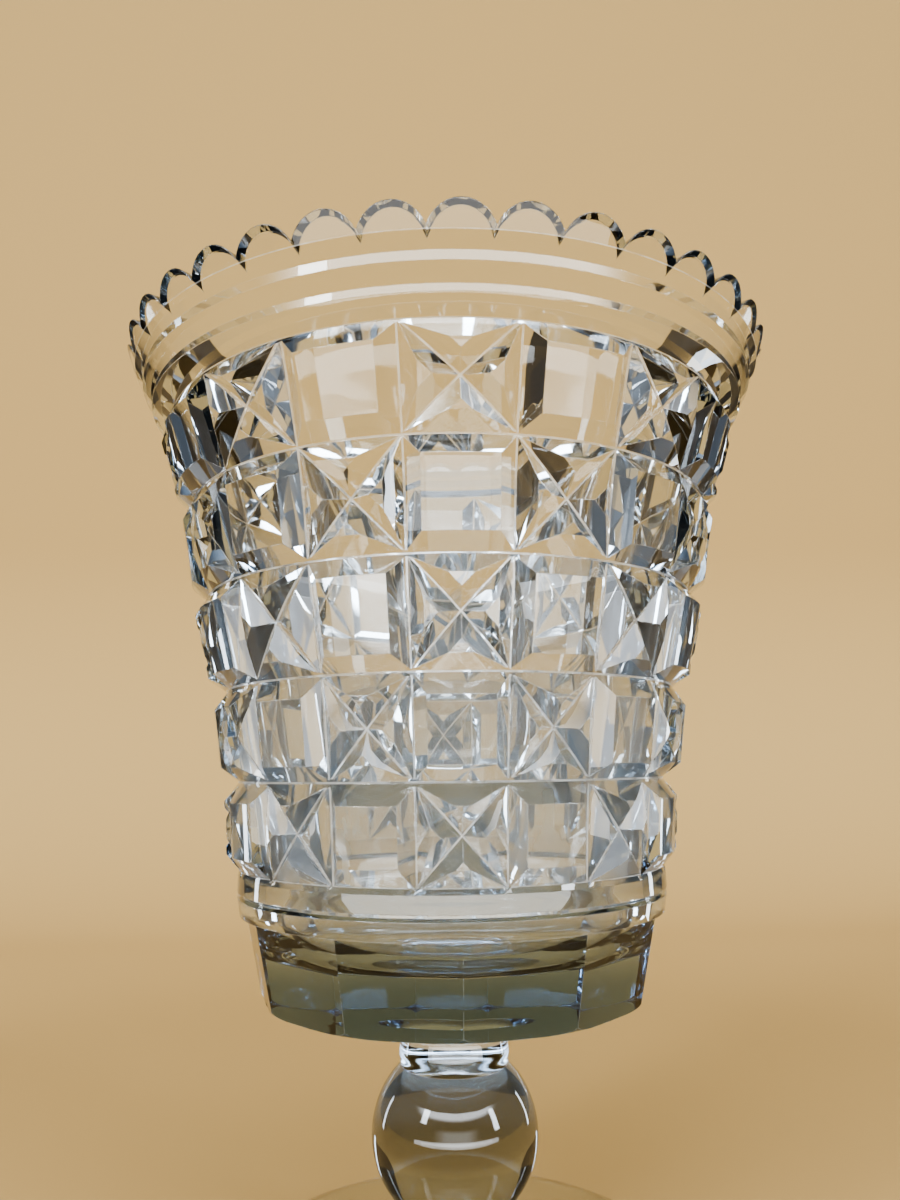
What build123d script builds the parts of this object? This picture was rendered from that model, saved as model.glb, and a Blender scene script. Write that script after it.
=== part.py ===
from build123d import *
import math
import os

# Cut-glass celery vase, standing on its foot.
# Millimetres, +Z up, the axis of the vase on Z, the foot resting on z = 0.
# One cut cross cell, one scallop point and one flute arris face -Y.

# counts round the bowl
CELLS = 18
SCALLOPS = 38
FLUTES = 12
CELL_ANGLE = 360 / CELLS

# heights of the plain parts
FOOT_TOP_Z = 14.5
STEM_TOP_Z = 18.4
BALL_TOP_Z = 45.3
BOWL_BOTTOM_Z = 60.6
RIM_TOP_Z = 205.6

# radii of the plain parts
FOOT_R = 51.2
STEM_R = 12.7
BALL_R = 18.2
BALL_CENTRE_Z = 31.4
NECK_R = 11.8
RIM_R = 76.5
RIM_INSIDE_R = 73.3

# the mitre grooves round the bowl, from the lowest to the highest: (height, radius at the bottom of the V)
RING_GROOVES = ((88.1, 47.8), (106.6, 47.9), (126.6, 51.5), (148.1, 56.1), (169.1, 61.1), (188.6, 65.9))
# outer radius of the blocks of each row, lowest row first: (at the lower edge, at the upper edge)
ROW_RADII = ((50.7, 51.4), (52.5, 54.2), (55.9, 59.0), (60.3, 62.6), (64.7, 68.5))
RING_HALF_WIDTH = 3.9
UPRIGHT_SLOPE = 1.1
CROSS_DEPTH = 2.9
CROSS_SLOPE = 0.9

# scallops of the rim
SCALLOP_RISE = 3.95
NOTCH_Z = RIM_TOP_Z - SCALLOP_RISE

# flutes of the thick base
FLUTE_TOP_Z = 78.7
FLUTE_TOP_R = 46.9
FLUTE_LOW_Z = 62.0
FLUTE_LOW_R = 43.2

BIG = 120.0


def ring(radius, height):
    """A point of a half section in the XZ plane."""
    return (radius, 0, height)


def turned(*edges, arc=360.0):
    """Solid of revolution about Z from the edges of a closed half section."""
    return revolve(make_face(Wire(list(edges))), Axis.Z, revolution_arc=arc)


def turned_outline(points, arc=360.0):
    """Solid of revolution about Z from a straight-sided half section."""
    return revolve(make_face(Polyline(*points, close=True)), Axis.Z, revolution_arc=arc)


def slanted(sketch, direction):
    """Prism of a flat outline pushed along any direction."""
    return Solid.extrude(sketch.face(), direction)


def cut_in_turn(body, cutters):
    """Take the cutters away one after another, for cutters that overlap each other."""
    for cutter in cutters:
        body = body - cutter
    return body


def largest(shape):
    """The main solid of a shape, without the specks a cut can leave."""
    return shape.solids().sort_by(SortBy.VOLUME)[-1]


def cavity():
    """The open inside of the bowl: flat floor, round corner, swelling wall."""
    floor_centre = ring(0, 71.5)
    floor_edge = ring(29.0, 71.5)
    corner_mid = ring(36.4, 74.6)
    corner_top = ring(39.3, 82.0)
    wall = Spline(
        corner_top,
        ring(43.2, 106.6),
        ring(51.2, 148.1),
        ring(62.4, 188.6),
        ring(RIM_INSIDE_R, RIM_TOP_Z),
        tangents=((0.22, 0, 1), (0.7, 0, 1)),
    )
    top_out = ring(RIM_INSIDE_R + 3.6, RIM_TOP_Z + 6.4)
    top_in = ring(0, RIM_TOP_Z + 6.4)
    return turned(
        Line(floor_centre, floor_edge),
        ThreePointArc(floor_edge, corner_mid, corner_top),
        wall,
        Line(ring(RIM_INSIDE_R, RIM_TOP_Z), top_out),
        Line(top_out, top_in),
        Line(top_in, floor_centre),
    )


def row_outline():
    """Half section of the five rows of blocks with the ring grooves between them."""
    points = [ring(0, RING_GROOVES[0][0])]
    for row, (low_r, high_r) in enumerate(ROW_RADII):
        low_z, groove_r = RING_GROOVES[row]
        high_z = RING_GROOVES[row + 1][0]
        points.append(ring(groove_r, low_z))
        points.append(ring(low_r, low_z + RING_HALF_WIDTH))
        points.append(ring(high_r, high_z - RING_HALF_WIDTH))
    top_z, top_r = RING_GROOVES[-1]
    points.append(ring(top_r, top_z))
    points.append(ring(0, top_z))
    return points


def upright_cutters(angle):
    """The two slanting halves of one upright V groove."""
    (z0, r0), (z5, r5) = RING_GROOVES[0], RING_GROOVES[-1]
    line = [ring(r0, z0 - 3)] + [ring(r, z) for z, r in RING_GROOVES] + [ring(r5 + 0.7, z5 + 3)]
    face = make_face(Polyline(*line, ring(BIG, z5 + 3), ring(BIG, z0 - 3), close=True))
    reach = 8.0
    halves = []
    for side in (-1, 1):
        slant = Vector(reach * UPRIGHT_SLOPE, side * reach, 0)
        halves.append(slanted(face, slant).rotate(Axis.Z, angle))
    return halves


def wall_point(radius, angle, height):
    """A point at a radius, an angle about Z in degrees and a height."""
    a = math.radians(angle)
    return Vector(radius * math.cos(a), radius * math.sin(a), height)


def cross_cutters(row, angle):
    """Four half grooves from the corners of a cell to its centre."""
    low_z, low_r = RING_GROOVES[row]
    high_z, high_r = RING_GROOVES[row + 1]
    centre_z = (low_z + high_z) / 2
    centre = wall_point(sum(ROW_RADII[row]) / 2 - CROSS_DEPTH, angle, centre_z)
    cutters = []
    for z, r in ((low_z, low_r), (high_z, high_r)):
        for side in (-0.5, 0.5):
            corner = wall_point(r, angle + side * CELL_ANGLE, z)
            along = (centre - corner).normalized()
            outward = wall_point(1, angle + side * CELL_ANGLE / 2, 0)
            across = along.cross(outward).normalized()
            plane = Plane(origin=corner, x_dir=across, z_dir=along)
            rise = 9.0 if plane.y_dir.dot(outward) > 0 else -9.0
            section = plane * Polyline((0, 0), (rise / CROSS_SLOPE, rise), (-rise / CROSS_SLOPE, rise), close=True)
            length = (centre - corner).length + 0.2
            cutters.append(slanted(make_face(section), along * length))
    return cutters


def row_sector(inside):
    """Two cells wide slice of the block rows, from groove bottom to groove bottom."""
    sector = turned_outline(row_outline(), arc=2 * CELL_ANGLE).rotate(Axis.Z, -CELL_ANGLE / 2)
    cutters = []
    for side in (-0.5, 0.5, 1.5):
        cutters += upright_cutters(side * CELL_ANGLE)
    for row in range(5):
        cutters += cross_cutters(row, (row % 2) * CELL_ANGLE)
    return largest(sector - inside - cutters)


def rim_ring(inside):
    """Prism rings below the rim and the notched scallops of the edge."""
    outline = (
        ring(0, RING_GROOVES[-1][0]),
        ring(65.9, 188.6),
        ring(70.4, 191.3),
        ring(70.3, 192.9),
        ring(72.6, 196.0),
        ring(72.5, 198.0),
        ring(74.5, 200.6),
        ring(RIM_R, RIM_TOP_Z),
        ring(0, RIM_TOP_Z),
    )
    return cut_in_turn(turned_outline(outline) - inside, notch_cutters())


def notch_cutters():
    """The cusped gaps between neighbouring scallops."""
    step = 360 / SCALLOPS
    half = RIM_R * math.tan(math.radians(step / 2))
    bow_r = (half**2 + SCALLOP_RISE**2) / (2 * SCALLOP_RISE)
    bow_centre_z = RIM_TOP_Z - bow_r
    lift = math.sin(math.radians(45)) * bow_r
    side = half - math.cos(math.radians(45)) * bow_r
    tip = (0, NOTCH_Z)
    left_mid = (-side, bow_centre_z + lift)
    right_mid = (side, bow_centre_z + lift)
    left_top = (-half, RIM_TOP_Z)
    right_top = (half, RIM_TOP_Z)
    plane = Plane(origin=(55, 0, 0), x_dir=(0, 1, 0), z_dir=(1, 0, 0))
    sketch = plane * Wire([
        ThreePointArc(left_top, left_mid, tip),
        ThreePointArc(tip, right_mid, right_top),
        Line(right_top, (half, RIM_TOP_Z + 2)),
        Line((half, RIM_TOP_Z + 2), (-half, RIM_TOP_Z + 2)),
        Line((-half, RIM_TOP_Z + 2), left_top),
    ])
    cutter = slanted(make_face(sketch), Vector(30, 0, 0))
    return [cutter.rotate(Axis.Z, (k + 0.5) * step) for k in range(SCALLOPS)]


def base_block(inside):
    """Thick base: step rings above flat-cut flutes, rounded at the lower edge."""
    top_z, top_r = RING_GROOVES[0]
    low_in = ring(41.2, BOWL_BOTTOM_Z)
    low_mid = ring(42.7, 61.2)
    low_out = ring(43.3, 62.6)
    flutes_top = ring(47.4, FLUTE_TOP_Z)
    corners = (
        flutes_top,
        ring(48.0, 82.3),
        ring(47.1, 82.9),
        ring(48.1, 83.6),
        ring(48.0, 87.0),
        ring(top_r, top_z),
        ring(0, top_z),
        ring(0, BOWL_BOTTOM_Z),
        low_in,
    )
    sides = [Line(a, b) for a, b in zip(corners, corners[1:])]
    body = turned(*sides, ThreePointArc(low_in, low_mid, low_out), Line(low_out, flutes_top))
    return cut_in_turn(body - inside, flute_cutters())


def flute_cutters():
    """Flat faces ground round the base, one cutter each."""
    flat = math.cos(math.pi / FLUTES)
    slope = (FLUTE_TOP_R - FLUTE_LOW_R) / (FLUTE_TOP_Z - FLUTE_LOW_Z)
    low_z = BOWL_BOTTOM_Z - 4
    low_x = (FLUTE_LOW_R - (FLUTE_LOW_Z - low_z) * slope) * flat
    top_x = FLUTE_TOP_R * flat
    face = make_face(Polyline(
        ring(low_x, low_z), ring(top_x, FLUTE_TOP_Z), ring(60, FLUTE_TOP_Z), ring(60, low_z), close=True
    ))
    slab = slanted(face, Vector(0, 40, 0)).translate(Vector(0, -20, 0))
    step = 360 / FLUTES
    return [slab.rotate(Axis.Z, (k + 0.5) * step) for k in range(FLUTES)]


def bowl():
    """The whole cut bowl."""
    inside = cavity()
    sector = row_sector(inside)
    rows = [sector.rotate(Axis.Z, k * 2 * CELL_ANGLE) for k in range(CELLS // 2)]
    body = base_block(inside).fuse(*rows, rim_ring(inside))
    return body.rotate(Axis.Z, -90)


def neck_collar():
    """Short neck with a swelling collar above the ball."""
    top = ring(12.6, BOWL_BOTTOM_Z)
    low = ring(NECK_R, BALL_TOP_Z)
    return turned(
        Line(ring(0, BALL_TOP_Z), low),
        Spline(low, ring(12.15, 47.6), ring(11.55, 52.0), ring(11.6, 57.0), top),
        Line(top, ring(0, BOWL_BOTTOM_Z)),
        Line(ring(0, BOWL_BOTTOM_Z), ring(0, BALL_TOP_Z)),
    )


def ball_knop():
    """Solid ball cut flat where the neck and the lower stem join it."""
    top = ring(math.sqrt(BALL_R**2 - (BALL_TOP_Z - BALL_CENTRE_Z) ** 2), BALL_TOP_Z)
    low = ring(math.sqrt(BALL_R**2 - (STEM_TOP_Z - BALL_CENTRE_Z) ** 2), STEM_TOP_Z)
    return turned(
        Line(ring(0, STEM_TOP_Z), low),
        ThreePointArc(low, ring(BALL_R, BALL_CENTRE_Z), top),
        Line(top, ring(0, BALL_TOP_Z)),
        Line(ring(0, BALL_TOP_Z), ring(0, STEM_TOP_Z)),
    )


def lower_stem():
    """Short waisted stem between the ball and the foot."""
    top = ring(STEM_R, STEM_TOP_Z)
    low = ring(15.2, FOOT_TOP_Z)
    return turned(
        Line(ring(0, FOOT_TOP_Z), low),
        ThreePointArc(low, ring(13.2, 16.0), top),
        Line(top, ring(0, STEM_TOP_Z)),
        Line(ring(0, STEM_TOP_Z), ring(0, FOOT_TOP_Z)),
    )


def foot():
    """Round foot, gently rising to the stem, slightly hollow beneath."""
    centre_low = ring(0, 1.4)
    rest_in = ring(41.0, 0)
    rest_out = ring(50.0, 0)
    edge_low = ring(51.0, 1.0)
    edge_top = ring(51.0, 2.7)
    shoulder = ring(50.0, 3.5)
    top = ring(15.2, FOOT_TOP_Z)
    return turned(
        ThreePointArc(centre_low, ring(22.0, 1.1), rest_in),
        Line(rest_in, rest_out),
        ThreePointArc(rest_out, ring(50.7, 0.3), edge_low),
        ThreePointArc(edge_low, ring(FOOT_R, 1.85), edge_top),
        ThreePointArc(edge_top, ring(50.6, 3.3), shoulder),
        Spline(shoulder, ring(36.0, 5.6), ring(22.0, 9.4), top, tangents=((-1, 0, 0.13), (-1, 0, 1.3))),
        Line(top, ring(0, FOOT_TOP_Z)),
        Line(ring(0, FOOT_TOP_Z), centre_low),
    )


os.makedirs("parts", exist_ok=True)
export_step(bowl(), "parts/bowl.step")
export_step(neck_collar(), "parts/neck_collar.step")
export_step(ball_knop(), "parts/ball_knop.step")
export_step(lower_stem(), "parts/lower_stem.step")
export_step(foot(), "parts/foot.step")
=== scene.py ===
import logging
import math
from dataclasses import dataclass, field
from enum import Enum
from typing import Callable, Hashable, Iterable, Sequence

import bmesh
import bpy
from mathutils import Matrix, Vector


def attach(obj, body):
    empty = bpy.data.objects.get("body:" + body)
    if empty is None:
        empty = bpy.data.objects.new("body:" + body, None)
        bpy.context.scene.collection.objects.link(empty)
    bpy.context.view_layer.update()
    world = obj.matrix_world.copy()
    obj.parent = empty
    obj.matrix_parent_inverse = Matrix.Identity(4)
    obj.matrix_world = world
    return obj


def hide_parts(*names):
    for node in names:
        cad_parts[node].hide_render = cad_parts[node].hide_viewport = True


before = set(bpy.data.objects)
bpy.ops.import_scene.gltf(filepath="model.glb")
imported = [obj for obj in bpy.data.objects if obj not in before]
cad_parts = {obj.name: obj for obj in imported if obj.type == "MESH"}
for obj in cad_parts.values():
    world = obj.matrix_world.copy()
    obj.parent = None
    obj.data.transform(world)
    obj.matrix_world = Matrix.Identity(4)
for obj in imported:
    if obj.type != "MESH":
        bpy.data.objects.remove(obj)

log = logging.getLogger("vase")

MM = 0.001
FULL_TURN = 2 * math.pi
QUARTER = math.pi / 2
FRONT = -QUARTER
JOIN_GAP = 0.01

# Tolerances in millimetres; the two least areas are in square millimetres.
ON_LINE = 1e-9
SAME = 1e-7
APART = 1e-5
LEAST_PIECE = 1e-7
LEAST_FACET = 1e-6
WELD = 0.004
SLIM = 0.001

# Digits kept when places are compared, and halvings when a meeting point is sought.
DIGITS = 6
HALVINGS = 40

Pair = tuple[float, float]
Triple = tuple[float, float, float]
Colour = tuple[float, float, float, float]


class Mark(Enum):
    """What a face is marked as for its finish."""

    PLAIN = "plain"
    JOIN = "join"
    GROOVE = "groove_floor"
    INSIDE = "inside_wall"
    # Faces that get painted shade: a darker glass colour standing in for shade seen through them.
    THICK = "painted_shade_base"


# ---------------------------------------------------------------- small maths


def colour(red: float, green: float, blue: float) -> Colour:
    """Linear colour with full alpha."""
    return (red, green, blue, 1.0)


@dataclass(frozen=True)
class Curve:
    """Smooth curve through a few points, such as a radius over a height."""

    knots: tuple[Pair, ...]

    def _tangent(self, index: int) -> float:
        """Slope of the curve at one knot.

        Args:
            index: Which knot.

        Returns:
            The slope there.
        """
        low = self.knots[max(index - 1, 0)]
        high = self.knots[min(index + 1, len(self.knots) - 1)]
        return (high[1] - low[1]) / (high[0] - low[0])

    def _span(self, at: float) -> int:
        """Index of the knot below a position."""
        last = len(self.knots) - 2
        return next((i for i in range(last) if at < self.knots[i + 1][0]), last)

    def value(self, at: float) -> float:
        """Height of the curve.

        Args:
            at: Position along the curve.

        Returns:
            The curve's value there.
        """
        i = self._span(at)
        (x0, y0), (x1, y1) = self.knots[i], self.knots[i + 1]
        step = x1 - x0
        t = (at - x0) / step
        m0, m1 = self._tangent(i) * step, self._tangent(i + 1) * step
        rise = t * t * (3 - 2 * t)
        return y0 + (y1 - y0) * rise + m0 * t * (1 - t) ** 2 - m1 * t * t * (1 - t)

    def slope(self, at: float) -> float:
        """Slope of the curve."""
        reach = 0.01
        return (self.value(at + reach) - self.value(at - reach)) / (2 * reach)


def arc(centre: Pair, radius: float, start: float, end: float, steps: int) -> list[Pair]:
    """Points along a circular arc in a half section."""
    angles = spaced(math.radians(start), math.radians(end), steps)
    return [(centre[0] + radius * math.cos(a), centre[1] + radius * math.sin(a)) for a in angles]


def spaced(first: float, last: float, steps: int) -> list[float]:
    """Evenly spaced values, both ends included."""
    return [first + (last - first) * i / steps for i in range(steps + 1)]


# ---------------------------------------------------------------- mesh building


class Shell:
    """A closed mesh in the making; every face belongs to a named region."""

    def __init__(self, name: str) -> None:
        """Start an empty shell.

        Args:
            name: Name of the piece.
        """
        self.name = name
        self.points: list[Triple] = []
        self.faces: list[Sequence[int]] = []
        self.regions: list[int] = []
        self.marks: list[Mark] = []
        self.known: dict[Hashable, int] = {}

    def point(self, radius: float, angle: float, height: float) -> int:
        """Add a point given in cylinder coordinates.

        Args:
            radius: Distance from the axis in millimetres.
            angle: Angle about the axis in radians.
            height: Height in millimetres.

        Returns:
            The point's index.
        """
        spot = (radius * math.cos(angle) * MM, radius * math.sin(angle) * MM, height * MM)
        self.points.append(spot)
        return len(self.points) - 1

    def ring(self, radius: float, height: float, angles: Iterable[float]) -> list[int]:
        """Add a level ring of points."""
        return [self.point(radius, angle, height) for angle in angles]

    def face(self, corners: Sequence[int], region: Hashable, mark: Mark = Mark.PLAIN) -> None:
        """Add one face.

        Args:
            corners: Indices of the corners.
            region: The region the face belongs to; edges between regions are sharp.
            mark: What the face is marked as.
        """
        self.faces.append(corners)
        self.regions.append(self.known.setdefault(region, len(self.known)))
        self.marks.append(mark)

    def band(
        self,
        low: Sequence[int],
        high: Sequence[int],
        region: Callable[[int], Hashable] | Hashable,
        mark: Mark = Mark.PLAIN,
    ) -> None:
        """Join two rings of the same count with quads.

        Args:
            low: One ring.
            high: The other ring.
            region: A region, or a function of the quad's index that gives one.
            mark: What the face is marked as.
        """
        count = len(low)
        for i in range(count):
            k = (i + 1) % count
            name = region(i) if callable(region) else region
            self.face((low[i], low[k], high[k], high[i]), name, mark)

    def zipper(self, low: dict[float, int], high: dict[float, int], region: Hashable) -> None:
        """Join two rings of different counts with triangles.

        Args:
            low: One ring, from angle to point.
            high: The other ring, from angle to point.
            region: The region of the triangles.
        """
        rings = [sorted(low.items()), sorted(high.items())]
        angles = [[a for a, _ in ring] + [ring[0][0] + FULL_TURN] for ring in rings]
        ids = [[p for _, p in ring] + [ring[0][1]] for ring in rings]
        at = [0, 0]
        while at[0] < len(rings[0]) or at[1] < len(rings[1]):
            ahead = [angles[s][at[s] + 1] if at[s] < len(rings[s]) else math.inf for s in (0, 1)]
            side = 0 if ahead[0] <= ahead[1] else 1
            moved = ids[side][at[side] + 1]
            self.face((ids[0][at[0]], ids[1][at[1]], moved), region)
            at[side] += 1

    def fan(self, ring: Sequence[int], centre: int, region: Hashable, mark: Mark = Mark.PLAIN) -> None:
        """Close a ring with triangles to one point."""
        for i, corner in enumerate(ring):
            self.face((corner, ring[(i + 1) % len(ring)], centre), region, mark)

    def build(self, finish: bpy.types.Material) -> bpy.types.Object:
        """Turn the shell into an object with sharp edges between its regions.

        Args:
            finish: The glass.

        Returns:
            The object, in the row frame.
        """
        mesh = bpy.data.meshes.new(self.name)
        mesh.from_pydata(self.points, [], self.faces)
        form = bmesh.new()
        form.from_mesh(mesh)
        layer = form.faces.layers.int.new("region")
        floats = form.faces.layers.float
        layers = {kind: floats.new(kind.value) for kind in Mark if kind is not Mark.PLAIN}
        form.faces.ensure_lookup_table()
        for face, region, mark in zip(form.faces, self.regions, self.marks):
            face[layer] = region
            if mark in layers:
                face[layers[mark]] = 1.0
            face.smooth = True
        bmesh.ops.remove_doubles(form, verts=form.verts, dist=WELD * MM)
        bmesh.ops.dissolve_degenerate(form, dist=SLIM * MM, edges=form.edges)
        bmesh.ops.recalc_face_normals(form, faces=form.faces)
        open_edges = 0
        for edge in form.edges:
            sides = edge.link_faces
            open_edges += len(sides) != 2
            edge.smooth = len(sides) == 2 and sides[0][layer] == sides[1][layer]
        form.to_mesh(mesh)
        form.free()
        mesh.materials.append(finish)
        piece = bpy.data.objects.new(self.name, mesh)
        bpy.context.scene.collection.objects.link(piece)
        log.info("%s: %d faces, %d open edges", self.name, len(mesh.polygons), open_edges)
        return piece


@dataclass(frozen=True)
class Span:
    """One stretch of a lathe profile."""

    points: tuple[Pair, ...]
    region: str
    mark: Mark = Mark.PLAIN


def lathe(shell: Shell, spans: Sequence[Span], segments: int) -> None:
    """Turn a profile that starts and ends on the axis into a closed shell.

    Args:
        shell: Shell to add to.
        spans: Stretches of the profile, each starting where the last one ended.
        segments: Number of segments round the axis.
    """
    angles = [FRONT + FULL_TURN * i / segments for i in range(segments)]
    for span in spans:
        rings: list[list[int] | int] = []
        for radius, height in span.points:
            if radius < SAME:
                rings.append(shell.point(0, 0, height))
            else:
                rings.append(shell.ring(radius, height, angles))
        for low, high in zip(rings, rings[1:]):
            if isinstance(low, int):
                shell.fan(high, low, span.region, span.mark)
            elif isinstance(high, int):
                shell.fan(low, high, span.region, span.mark)
            else:
                shell.band(low, high, span.region, span.mark)


def gather(
    name: str,
    profile: Sequence[Pair],
    segments: int,
    finish: bpy.types.Material,
    mark: Mark = Mark.PLAIN,
) -> bpy.types.Object:
    """Turn one solid gather of glass, joined to its neighbours at both ends.

    Args:
        name: Name of the piece.
        profile: Its side, from the lower join to the upper one.
        segments: Number of segments round the axis.
        finish: The glass.
        mark: What its side is marked as.

    Returns:
        The piece.
    """
    low, high = profile[0], profile[-1]
    spans = (
        Span(((0, low[1]), low), "low_join", Mark.JOIN),
        Span(tuple(profile), "side", mark),
        Span((high, (0, high[1])), "top_join", Mark.JOIN),
    )
    shell = Shell(name)
    lathe(shell, spans, segments)
    return shell.build(finish)


# ---------------------------------------------------------------- shader graph


class Socket:
    """A shader value that can be used in plain arithmetic."""

    def __init__(self, graph: "Graph", out: bpy.types.NodeSocket) -> None:
        """Wrap an output."""
        self.graph = graph
        self.out = out

    def _maths(self, operation: str, *others: "Socket | float", flip: bool = False) -> "Socket":
        """Add a Math node.

        Args:
            operation: Blender's name of the operation.
            others: The other operands.
            flip: Whether this value comes last.

        Returns:
            The result.
        """
        operands: list[Socket | float] = [self, *others]
        if flip:
            operands.reverse()
        return self.graph.add("ShaderNodeMath", {"operation": operation}, dict(enumerate(operands)))

    def __add__(self, other: "Socket | float") -> "Socket":
        """Sum."""
        return self._maths("ADD", other)

    __radd__ = __add__

    def __mul__(self, other: "Socket | float") -> "Socket":
        """Product."""
        return self._maths("MULTIPLY", other)

    __rmul__ = __mul__

    def __sub__(self, other: "Socket | float") -> "Socket":
        """Difference."""
        return self._maths("SUBTRACT", other)

    def __rsub__(self, other: float) -> "Socket":
        """Difference from a number."""
        return self._maths("SUBTRACT", other, flip=True)

    def __pow__(self, other: "Socket | float") -> "Socket":
        """Power."""
        return self._maths("POWER", other)

    def __rpow__(self, other: float) -> "Socket":
        """Power of a number."""
        return self._maths("POWER", other, flip=True)

    def ramp(self, low: float, high: float) -> "Socket":
        """Rescale a range to 0..1, smooth at both ends."""
        wanted = {"Value": self, "From Min": low, "From Max": high}
        return self.graph.add("ShaderNodeMapRange", {"interpolation_type": "SMOOTHSTEP"}, wanted)


@dataclass(frozen=True)
class Speckle:
    """A noise fixed to the object, with its scale in features per metre."""

    scale: float
    detail: float = 3.0
    rough: float = 0.6
    stretch: Triple = (1.0, 1.0, 1.0)


class Graph:
    """The node tree of one material or of the world."""

    def __init__(self, name: str, tree: bpy.types.NodeTree | None = None) -> None:
        """Start an empty tree.

        Args:
            name: Name of the material.
            tree: A tree to fill instead of a new material's.
        """
        if tree is None:
            self.material = bpy.data.materials.new(name)
            self.material.use_nodes = True
            tree = self.material.node_tree
        self.tree = tree
        self.tree.nodes.clear()

    def add(
        self,
        kind: str,
        settings: dict[str, object] | None = None,
        inputs: dict[str | int, "Socket | float | Colour | Triple"] | None = None,
        output: int | str = 0,
    ) -> Socket:
        """Add any node.

        Args:
            kind: Blender's type name of the node.
            settings: Properties to set on the node.
            inputs: Values or links by input name or index.
            output: Which output to return.

        Returns:
            The chosen output.
        """
        node = self.tree.nodes.new(kind)
        for name, value in (settings or {}).items():
            setattr(node, name, value)
        for name, value in (inputs or {}).items():
            if isinstance(value, Socket):
                self.tree.links.new(value.out, node.inputs[name])
            else:
                node.inputs[name].default_value = value
        return Socket(self, node.outputs[output])

    def noise(self, speckle: Speckle) -> Socket:
        """Noise fixed to the object.

        Args:
            speckle: What the noise is like.

        Returns:
            The noise, about 0..1.
        """
        place = self.add("ShaderNodeTexCoord", output="Object")
        spread = self.add("ShaderNodeMapping", inputs={"Vector": place, "Scale": speckle.stretch})
        wanted = {"Vector": spread, "Scale": speckle.scale}
        wanted |= {"Detail": speckle.detail, "Roughness": speckle.rough}
        return self.add("ShaderNodeTexNoise", inputs=wanted)

    def height(self) -> Socket:
        """Height above the floor in metres."""
        place = self.add("ShaderNodeTexCoord", output="Object")
        return self.add("ShaderNodeSeparateXYZ", inputs={0: place}, output="Z")

    def marked(self, mark: Mark) -> Socket:
        """1 on the faces that carry a mark."""
        return self.add("ShaderNodeAttribute", {"attribute_name": mark.value}, output="Fac")

    def mix(self, share: Socket, first: Socket, second: Socket) -> Socket:
        """Mix two shaders."""
        return self.add("ShaderNodeMixShader", inputs={0: share, 1: first, 2: second})

    def finish(self, surface: Socket, volume: Socket | None = None) -> bpy.types.Material:
        """Close the graph.

        Args:
            surface: The shader of the surface.
            volume: The shader of the inside, if any.

        Returns:
            The material.
        """
        end = self.tree.nodes.new("ShaderNodeOutputMaterial")
        self.tree.links.new(surface.out, end.inputs["Surface"])
        if volume:
            self.tree.links.new(volume.out, end.inputs["Volume"])
        return self.material


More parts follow.
